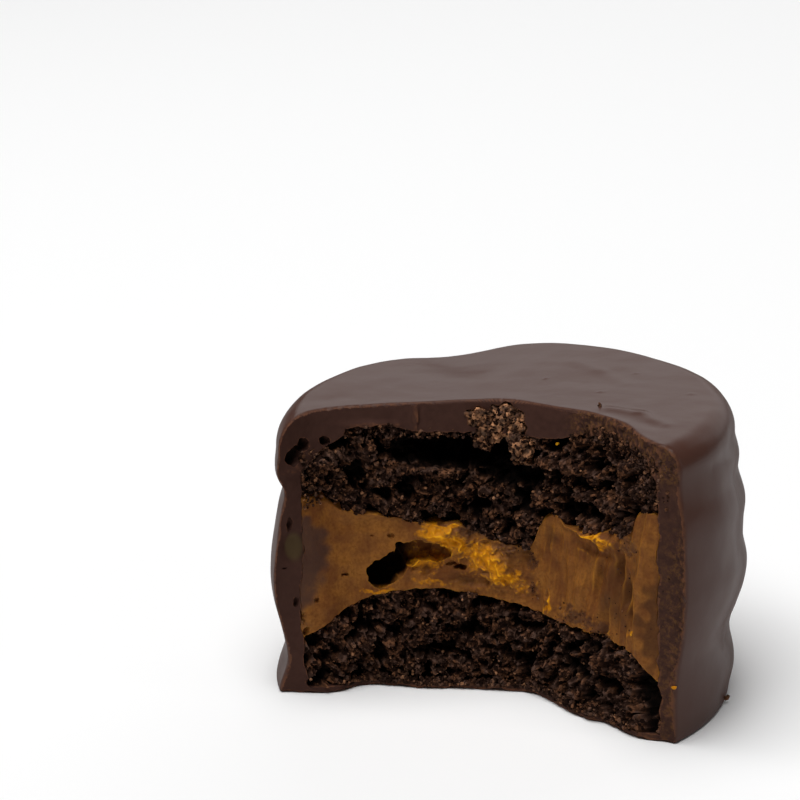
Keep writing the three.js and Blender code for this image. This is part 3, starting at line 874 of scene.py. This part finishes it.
def chocolate_finish():
    """Dark coating: satin outside, duller and browner where it was bitten through."""
    coat = Finish("chocolate")
    ridge = coat.noted("ridge")
    # how hollow each point lies, which sets where painted crevice shade goes
    crevice_shade = 0 - ridge
    bitten = coat.noted("bitten")
    away = coat.add("ShaderNodeLayerWeight", {}, {"Blend": 0.5}, "Facing")
    gloss = (1 - bitten) * (1 - 0.9 * away.between(0.71, 0.86))
    cloud = coat.noise(9, 3)
    mottle = coat.noise(0.9, 4, 0.6)
    fine = coat.noise(0.3, 3)
    cut_face = coat.mix(mottle, *COAT_BITTEN)
    caramelised = coat.mix(mottle.between(0.42, 0.58), *COAT_CARAMELISED)
    cut_face = coat.mix(coat.noted("stained") * fine.between(0.35, 0.6), cut_face, caramelised)
    blister = coat.noted("blister").between(0.1, 0.7) * 0.85
    cut_face = coat.mix(blister, cut_face, COAT_BLISTER)
    colour = coat.mix(bitten, coat.mix(cloud, *COAT_OUTSIDE), cut_face)
    # pale line on the bitten coat's raised edges, partly a painted highlight
    edge = ridge.between(0.02, 0.10) * coat.noise(0.6, 3).between(0.3, 0.55) * bitten
    colour = coat.mix(edge * 0.75, colour, COAT_PALE_EDGE_AND_HIGHLIGHT)
    # painted shade in the hollows of the bitten coat
    colour = coat.mix(crevice_shade.between(0.05, 0.25) * 0.8 * bitten, colour, COAT_PAINTED_CREVICE_SHADE)
    # painted shade in the bitten coat's recesses, darker the deeper they lie
    colour = coat.mix(coat.noted("depth").between(0.7, 1.6) * bitten, colour, COAT_PAINTED_RECESS_SHADE)
    return coat.end(
        Base_Color=colour, Roughness=0.42 + 0.08 * cloud + 0.2 * bitten,
        Normal=coat.bump(mottle * 0.5 + fine * 0.3, 0.015), Specular_IOR_Level=0.04,
        Coat_Weight=gloss * 0.28, Coat_Roughness=0.25, Coat_IOR=1.5,
    )


def cake_finish():
    """Cocoa crumb: painted shade nearly black in its pores and recesses, redder and paler on its
    grains, whose raised tops carry partly a painted highlight.
    """
    cake = Finish("cake")
    ridge = cake.noted("ridge")
    pore_shade = 0 - ridge
    pale_crumb_and_highlight = cake.noted("pale_crumb_and_highlight")
    pick = cake.part(cake.cells(0.45, "Color"), 0)
    fine = cake.noise(0.16, 3, 0.6)
    reddish = cake.mix(fine, *CAKE_REDDISH)
    greyish = cake.mix(fine, *CAKE_GREYISH)
    pale = cake.mix(cake.noise(1.5, 2).between(0.4, 0.6), reddish, greyish)
    # paler colour where grains stand out, partly a painted highlight, and in random patches
    grain_tone_and_highlight = ridge.between(-0.08, 0.20) * 0.85 + cake.noise(2.6, 2).between(0.45, 0.7) * 0.22
    colour = cake.mix(grain_tone_and_highlight * pick.between(0.1, 0.9), cake.mix(pick, *CAKE_DARK), pale)
    pale_and_highlight = cake.mix(cake.noise(1.1, 3).between(0.38, 0.62), *CAKE_PALE_AND_HIGHLIGHT)
    # pale crumb on raised parts of the clump and some loose crumbs, partly a painted highlight
    colour = cake.mix(pale_crumb_and_highlight * (ridge + 0.15).between(0.0, 0.3), colour, pale_and_highlight)
    # painted shade in the crumb's pores
    colour = cake.mix(pore_shade.between(0.05, 0.25) * 0.9, colour, CAKE_PAINTED_PORE_SHADE)
    # painted shade in recesses deep behind the bitten face, left off the clump
    recess_shade = cake.noted("depth").between(0.5, 1.9) * 0.95 * (1 - pale_crumb_and_highlight)
    colour = cake.mix(recess_shade, colour, CAKE_PAINTED_RECESS_SHADE)
    normal = cake.bump(fine + cake.cells(0.2) * 0.8, 0.06)
    return cake.end(Base_Color=colour, Roughness=0.8, Normal=normal, Specular_IOR_Level=0.05)


def caramel_finish():
    """Milk caramel: satin brown, yellow where it was torn thin, partly as painted highlight, and
    drawn into streaks on the right.
    """
    caramel = Finish("caramel")
    ridge = caramel.noted("ridge")
    # how hollow each point lies, which sets where painted crevice shade goes
    crevice_shade = 0 - ridge
    torn_and_highlit = caramel.noted("torn_and_highlit")
    cloud = caramel.noise(3.2, 4, 0.6)
    fine = caramel.noise(0.5, 4, 0.6)
    streak = caramel.noise(1.0, 3, 0.6, caramel.stretched(1, 1, 0.12))
    speck = caramel.noise(0.35, 3).between(0.4, 0.7) * 0.35

    def worn(name, grain, amount):
        """A note with its edge broken up by a noise."""
        return caramel.noted(name) + (grain - 0.5) * amount

    colour = caramel.mix(cloud.between(0.3, 0.7), *CARAMEL_BODY)
    for share, paint in (
        (streak.between(0.5, 0.75) * 0.35, CARAMEL_STREAK),
        (speck, CARAMEL_SPECK),
        # paler torn caramel, partly a painted highlight
        (worn("torn_and_highlit", fine, 1.3).between(0.25, 0.9), CARAMEL_TORN_AND_HIGHLIGHT),
        # painted highlight on raised ridges, strongest where the caramel is torn
        (ridge.between(0.02, 0.13) * (torn_and_highlit + 0.15), CARAMEL_RIDGE_HIGHLIGHT),
        (worn("smeared", fine, 0.35).between(0.05, 0.95) * 0.85, CARAMEL_SMEARED),
        (worn("stained", cloud, 1.1).between(0.2, 0.9) * 0.75, CARAMEL_STAINED),
        (worn("crumby", fine, 1.2).between(0.35, 0.85) * 0.7, CARAMEL_CRUMBY),
        # painted shade in the caramel's hollows
        (crevice_shade.between(0.05, 0.3) * 0.5, CARAMEL_PAINTED_CREVICE_SHADE),
        # painted shade deep in the caramel's cave
        (caramel.noted("painted_cave_shade") * 0.96, CARAMEL_PAINTED_CAVE_SHADE),
    ):
        colour = caramel.mix(share, colour, paint)
    return caramel.end(
        Base_Color=colour, Roughness=0.45 + 0.2 * fine, Specular_IOR_Level=0.08,
        Normal=caramel.bump(fine, 0.05, caramel.bump(streak, 0.10)),
        Subsurface_Weight=0.12, Subsurface_Radius=(1.0, 0.45, 0.15), Subsurface_Scale=1.2 * MM,
    )


# ---- the pieces ---------------------------------------------------------------------------------

crumb = Grain(seed=21)
soft = Grain(seed=31)
wax = Grain(seed=41)

SMOOTH, COAT_SHARP = 180, 42             # degrees


def vector_swell(grain, points, size, amount):
    """Noise in all three directions, which folds a face over itself a little."""
    each = [grain.swell(points + offset, size) for offset in (11.3, 47.1, 83.9)]
    return amount * np.stack(each, axis=1)


def crumb_relief(dents):
    """The torn face of a cake: its dents, swells, pores and grains."""
    wide_pore, small_pore = 1.8, 0.9     # depths
    grains = ((5, 0.72, 0.45, 0.40), (15, 0.36, 0.25, 0.20))

    def relief(face, angle, z):
        sunk = dent_depth(dents, angle, z) + swells(crumb, face, (0.45, 3.1, 0), (0.35, 1.4, 30))
        sunk += wide_pore * smooth(crumb.swell(face + 60, 2.0), 0.0, 0.45)
        sunk += small_pore * smooth(crumb.swell(face + 90, 0.9), 0.05, 0.4)
        for offset, size, dome, own in grains:
            near, pick = crumb.pebbles(face + offset, size)
            sunk += dome * (near - 0.5) + own * (pick - 0.5)
        return sunk, vector_swell(crumb, face, 0.55, 0.2)

    return relief


def span(angle, start, full, fading, end):
    """1 over some degrees of the bite, and 0 beyond both ends."""
    return smooth(angle, start, full) * (1 - smooth(angle, fading, end))


def caramel_relief(face, angle, z):
    """The bitten caramel: torn and rough in its middle, drawn into upright streaks on the right."""
    sunk = dent_depth(CARAMEL_DENTS, angle, z) + swells(soft, face, (0.25, 4.2, 0), (0.10, 1.5, 30))
    bright = 0.6 * smooth(angle, 74, 84) * (1 - smooth(angle, 98, 108))
    torn_and_highlit = np.clip(dent_depth(TORN_AND_HIGHLIT, angle, z) + bright, 0, 1)
    sunk += torn_and_highlit * swells(soft, face, (0.34, 1.2, 60), (0.28, 0.5, 90))
    sunk += dent_depth(CRUMBY, angle, z) * swells(crumb, face, (0.3, 0.7, 0), (0.3, 0.35, 0))
    along = np.stack([np.radians(angle) * BITE_REACH, z / 5, 0 * z], axis=1)
    streaks = swells(soft, along, (0.40, 1.3, 0), (0.16, 0.45, 20))
    sunk += span(angle, 30, 36, 74, 84) * streaks
    return sunk, vector_swell(soft, face, 1.0, 0.18) * torn_and_highlit[:, None]


def broken_coat(angle, z):
    """Where the bitten coat is crumbled rather than cleanly broken."""
    right = (1 - smooth(angle, 26, 34)) * (1 - 0.6 * smooth(z, 22, 30))
    top_right = smooth(z, 31.5, 33.5) * (1 - smooth(angle, 66, 74))
    return np.clip(right + top_right, 0, 1)


def coat_relief(face, angle, z):
    """The bitten coat: nearly even, and rough where it is crumbled."""
    sunk = swells(wax, face, (0.10, 2.4, 0), (0.05, 0.7, 30)) + dent_depth(COAT_DENTS, angle, z)
    sunk += broken_coat(angle, z) * swells(wax, face, (0.28, 0.9, 60), (0.16, 0.4, 90))
    return sunk, 0 * face


def on_face(angle, z, inward):
    """A point on the bitten face, or so far behind it."""
    angle, z = np.array([angle]), np.array([z])
    return upright(angle, bite_radius(angle, z) + inward, z, BITE_CENTRE_Y)[0]


def blobs(places, grain, roughness, room=0.0, grit=0.0, fineness=4):
    """Lumpy balls in the bitten face."""
    balls = []
    for angle, z, width, height, depth, inward in places:
        half_sizes = (width + room, depth + room, height + room)
        centre = on_face(angle, z, inward)
        balls.append(blob(centre, half_sizes, angle, grain, roughness, grit, fineness))
    return balls


def round_bitten_edge(piece, radius):
    """Rounds the outside over where it meets the bite."""
    points = read(piece.data)
    from_edge = np.clip(radius - behind_bite(points), 0, radius)
    sink = radius - np.sqrt(radius ** 2 - from_edge ** 2)
    write(piece.data, points - normals_of(piece.data) * sink[:, None])


def strokes(folds, across, up):
    """Rounded folds along straight strokes: both ends, height and half width of each."""
    here = np.stack([across, up], axis=1)
    total = 0 * across
    for start, end, height, half_width in folds:
        start, way = np.array(start), np.array(end) - np.array(start)
        share = np.clip((here - start) @ way / (way @ way), 0, 1)
        away = np.linalg.norm(here - start - share[:, None] * way, axis=1)
        total += height * np.exp(-(away / half_width) ** 2)
    return total


def folds(points):
    """Ripples of the top, specks on it, and creases round the side."""
    x, y, z = points.T
    angle, radius = polar(points)
    top = smooth(z, HEIGHT - 3, HEIGHT - 1)
    side = smooth(radius, TOP_RADIUS, TOP_RADIUS + 2)
    return top * strokes(TOP_RIPPLES, x, y) + side * strokes(SIDE_CREASES, angle, z)


def under_skin(points):
    """About how far points lie under the even outside of the coat."""
    angle, radius = polar(points)
    top = top_height(points[:, 0], points[:, 1])
    wall = wall_radius(angle, np.clip(points[:, 2] / top, 0, WALL_TOP))
    out = np.maximum((radius - TOP_RADIUS) / (wall - TOP_RADIUS), 0)
    up = np.maximum((points[:, 2] / top - 1 + RIM_SHARE) / RIM_SHARE, 0)
    return (1 - np.hypot(out, up)) * RIM_SHARE * HEIGHT


def coat_floor(x, y):
    return COAT_FLOOR + 0 * x


def chocolate_coat():
    climb, girth, off_floor, inset = 38, math.tau * 29, (0.02, 2.5), 0.10
    coat = spun_disc(
        "coat", COAT_FLOOR_RINGS, count(climb, OUTSIDE_PITCH), count(TOP_RADIUS, OUTSIDE_PITCH),
        count(girth, OUTSIDE_ROUND_PITCH),
    )
    points = outside_point(read(coat.data))
    write(coat.data, points)
    uneven = swells(wax, points, (0.11, 9.0, 0), (0.04, 3.2, 30), (0.008, 0.9, 0))
    lift = (uneven + folds(points) - inset) * smooth(points[:, 2], *off_floor)
    write(coat.data, points + normals_of(coat.data) * lift[:, None])
    round_bitten_edge(coat, EDGE_ROUND)
    cavity = layer("cavity", coat_floor, coat_underside, CAVITY_PITCH, room=0, seam=0)
    bite = bite_tool(*COAT_BITE, BITTEN_COAT_PITCH, coat_relief)
    cut(coat, [cavity, bite] + blobs(CLUMPS, crumb, 0.5, CLUMP_ROOM) + blobs(COAT_HOLES, wax, 0.25))
    keep_largest(coat)
    points = read(coat.data)
    angle, z = polar(points, BITE_CENTRE_Y)[0], points[:, 2]
    off_face = 1 - smooth(behind_bite(points), 0.05, 0.35)
    note(coat.data, "bitten", np.maximum(off_face, smooth(under_skin(points), 0.45, 0.8)))
    note(coat.data, "stained", broken_coat(angle, z))
    note(coat.data, "blister", -dent_depth(BLISTER, angle, z) * 10)      # 1 in its middle
    return finish_piece(coat, "chocolate_coat", chocolate_finish(), COAT_SHARP)


def near_clump(points):
    """1 in the crumb caught in the coat, falling off around it."""
    near = 0
    for angle, z, width, height, _, inward in CLUMPS:
        away = np.linalg.norm(points - on_face(angle, z, inward), axis=1) / max(width, height)
        near = np.maximum(near, 1 - smooth(away, 0.95, 1.4))
    return near


def cake(name, node, floor, ceiling, heights, dents, clumps=()):
    """A cake between two faces, bitten between two heights, with clumps added to it."""
    piece = layer(name, floor, ceiling, LAYER_PITCH)
    cut(piece, [bite_tool(*heights, BITTEN_CAKE_PITCH, crumb_relief(dents))])
    if clumps:
        cut(piece, clumps, "UNION")
    keep_largest(piece)
    points = read(piece.data)
    note(piece.data, "pale_crumb_and_highlight", near_clump(points) if clumps else 0 * points[:, 0])
    return finish_piece(piece, node, crumb_colour, SMOOTH)


def cave_shade(points):
    """1 deep in the caramel's cave, sooner at its deep end."""
    angle, depth = polar(points, BITE_CENTRE_Y)[0], behind_bite(points)
    deep_end = span(angle, 114.5, 118.5, 131, 133)
    return np.maximum(deep_end * smooth(depth, 0.5, 1.8), smooth(depth, 3.2, 5.0))


def caramel():
    piece = layer("caramel", caramel_floor, caramel_top, LAYER_PITCH)
    bite = bite_tool(*CARAMEL_BITE, BITTEN_CARAMEL_PITCH, caramel_relief)
    cut(piece, [bite] + blobs(CARAMEL_HOLES, soft, 0.4))
    keep_largest(piece)
    points = read(piece.data)
    wander = vector_swell(soft, points, 1.6, 1.0)
    angle = polar(points, BITE_CENTRE_Y)[0] + 3 * wander[:, 0]
    z = points[:, 2] + 0.8 * wander[:, 1]
    for name, places in (("torn_and_highlit", TORN_AND_HIGHLIT), ("stained", STAINED), ("crumby", CRUMBY)):
        note(piece.data, name, dent_depth(places, angle, z))
    note(piece.data, "smeared", smooth(angle - smear_start(z), 0, 8))
    # where painted shade darkens the caramel's cave
    note(piece.data, "painted_cave_shade", cave_shade(points))
    return finish_piece(piece, "caramel_filling", caramel_finish(), SMOOTH)


# ---- crumbs -------------------------------------------------------------------------------------

class Scatter:
    """Many small rough grains, gathered and then joined into one mesh."""

    def __init__(self, seed):
        self.rng = np.random.default_rng(seed)
        bm = bmesh.new()
        bmesh.ops.create_icosphere(bm, subdivisions=1, radius=1)
        self.ball = np.array([vert.co for vert in bm.verts])
        self.sides = np.array([[vert.index for vert in face.verts] for face in bm.faces])
        bm.free()
        self.grains = []
        self.picks = []

    def drop(self, centres, sizes):
        """Puts a grain at each centre, turned, stretched and dented at random."""
        number = len(centres)
        axes = np.linalg.qr(self.rng.normal(size=(number, 3, 3)))[0]
        dented = self.ball * self.rng.uniform(0.7, 1.25, (number, len(self.ball), 1))
        stretched = dented * self.rng.uniform(0.65, 1.3, (number, 1, 3))
        ball = stretched * np.reshape(sizes, (-1, 1, 1))
        self.grains.append(np.einsum("nij,nkj->nki", axes, ball) + np.asarray(centres)[:, None])
        self.picks.append(self.rng.random(number))

    def sizes(self, number, low, high):
        """Sizes between two, most of them near the low one."""
        return blend(low, high, self.rng.random(number) ** 2.2)

    def on_piece(self, piece, number, low, high, reach):
        """Grains at random points of a piece's bitten face, down to a reach behind it."""
        points, normals = read(piece.data) / MM, normals_of(piece.data)
        turn = np.radians(polar(points, BITE_CENTRE_Y)[0])
        facing = -(normals[:, 0] * np.cos(turn) + normals[:, 1] * np.sin(turn))
        ready = np.flatnonzero((behind_bite(points) < reach) & (facing > 0.15))
        chosen = self.rng.choice(ready, number)
        size = self.sizes(number, low, high)
        self.drop(points[chosen] + normals[chosen] * size[:, None] * 0.25, size)

    def on_patch(self, angles, heights, number, low, high, inward=0.0):
        """Grains over a patch of the even bitten face, or so far behind it."""
        angle, z = self.rng.uniform(*angles, number), self.rng.uniform(*heights, number)
        radius = bite_radius(angle, z) + inward + self.rng.normal(0, 0.08, number)
        self.drop(upright(angle, radius, z, BITE_CENTRE_Y), self.sizes(number, low, high))

    def join(self, name, finish):
        """Makes one piece of all the grains."""
        points = np.concatenate(self.grains)
        number = len(points)
        sides = (self.sides + len(self.ball) * np.arange(number)[:, None, None]).reshape(-1, 3)
        mesh = bpy.data.meshes.new(name)
        mesh.from_pydata(points.reshape(-1, 3) * MM, [], sides)
        picks = np.repeat(np.concatenate(self.picks), len(self.ball))
        note(mesh, "ridge", blend(-0.12, 0.22, picks))
        note(mesh, "pale_crumb_and_highlight", smooth(picks, 0.8, 1.0) * 0.45)
        note(mesh, "torn_and_highlit", 0 * picks + 1)
        mesh.materials.append(finish)
        piece = bpy.data.objects.new(name, mesh)
        bpy.context.scene.collection.objects.link(piece)
        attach(piece, "root")


def crumbs():
    """Loose crumbs on the cakes, at the foot, in the hollow, along the edges and on the caramel."""
    scatter = Scatter(seed=5)
    scatter.on_piece(upper, 4000, 0.07, 0.27, 1.2)
    scatter.on_piece(lower, 3300, 0.07, 0.25, 1.2)
    for patch in FOOT_CRUMBS + [HOLLOW_CRUMBS]:
        scatter.on_patch(*patch)
    scatter.drop(STRAY_CRUMBS, STRAY_SIZES)
    for patch in EDGE_CRUMBS:
        scatter.on_patch(*patch)
    for angle, z, width, height, _ in CRUMBY + STAINED[:3]:
        reach = math.degrees(width / 25)
        sides, heights = (angle - reach, angle + reach), (z - height, z + height)
        scatter.on_patch(sides, heights, STUCK_GRAINS, 0.06, 0.16)
    scatter.join("crumbs", crumb_colour)


def caramel_bits():
    scatter = Scatter(seed=6)
    scatter.drop([on_face(*place) for place in CARAMEL_BITS], CARAMEL_BIT_SIZES)
    scatter.join("caramel_bits", filling.data.materials[0])


crumb_colour = cake_finish()
coat = chocolate_coat()
lower = cake(
    "lower_cake_crumb", "lower_cake", coat_floor, caramel_floor, LOWER_CAKE_BITE, LOWER_CAKE_DENTS,
)
upper = cake(
    "upper_cake_crumb", "upper_cake", caramel_top, coat_underside, UPPER_CAKE_BITE,
    UPPER_CAKE_DENTS, blobs(CLUMPS, crumb, 0.7, grit=0.3, fineness=5),
)
filling = caramel()
crumbs()
caramel_bits()


# ---- the stage, in metres -----------------------------------------------------------------------

# Name, place, what it faces, width, height, watts
LIGHTS = [
    ("overhead", (-0.24, -0.19, 1.5), (0, 0, 0), 1.3, 1.3, 28.0),
    ("behind", (0.05, 1.2, 0.50), (0, 0, 0.02), 1.7, 0.8, 4.6),
    ("right", (0.75, 0.05, 0.30), (0, 0, 0.02), 0.05, 0.5, 0.3),
]
SKY_STRENGTH = 0.05
FLOOR_SIZE, FLOOR_DROP = 3, 0.00005


def floor():
    bm = bmesh.new()
    bmesh.ops.create_grid(bm, x_segments=1, y_segments=1, size=FLOOR_SIZE)
    ground = keep(bm, "floor")
    ground.data.transform(Matrix.Translation((0, 0, -FLOOR_DROP)))
    paper = Finish("pale paper")
    pale = rgb(0.92, 0.92, 0.92)
    ground.data.materials.append(paper.end(Base_Color=pale, Roughness=0.8, Specular_IOR_Level=0.2))


def soft_light(name, at, towards, width, height, watts):
    light = bpy.data.lights.new(name, "AREA")
    light.shape = "RECTANGLE"
    light.size = width
    light.size_y = height
    light.energy = watts
    lamp = bpy.data.objects.new(name, light)
    lamp.location = at
    lamp.rotation_euler = (Vector(towards) - Vector(at)).to_track_quat("-Z", "Y").to_euler()
    bpy.context.scene.collection.objects.link(lamp)


def sky():
    world = bpy.data.worlds.new("studio")
    world.use_nodes = True
    background = world.node_tree.nodes["Background"]
    background.inputs["Color"].default_value = (1, 1, 1, 1)
    background.inputs["Strength"].default_value = SKY_STRENGTH
    bpy.context.scene.world = world


def camera():
    eye = bpy.data.cameras.new("camera")
    eye.lens = LENS
    eye.sensor_width = SENSOR
    eye.clip_start = 10 * MM
    stand = bpy.data.objects.new("camera", eye)
    stand.location = CAMERA_AT
    stand.rotation_euler = (math.radians(CAMERA_TILT), 0, math.radians(CAMERA_TURN))
    bpy.context.scene.collection.objects.link(stand)
    bpy.context.scene.camera = stand


floor()
for light in LIGHTS:
    soft_light(*light)
sky()
camera()
bpy.context.scene.view_settings.view_transform = "Standard"
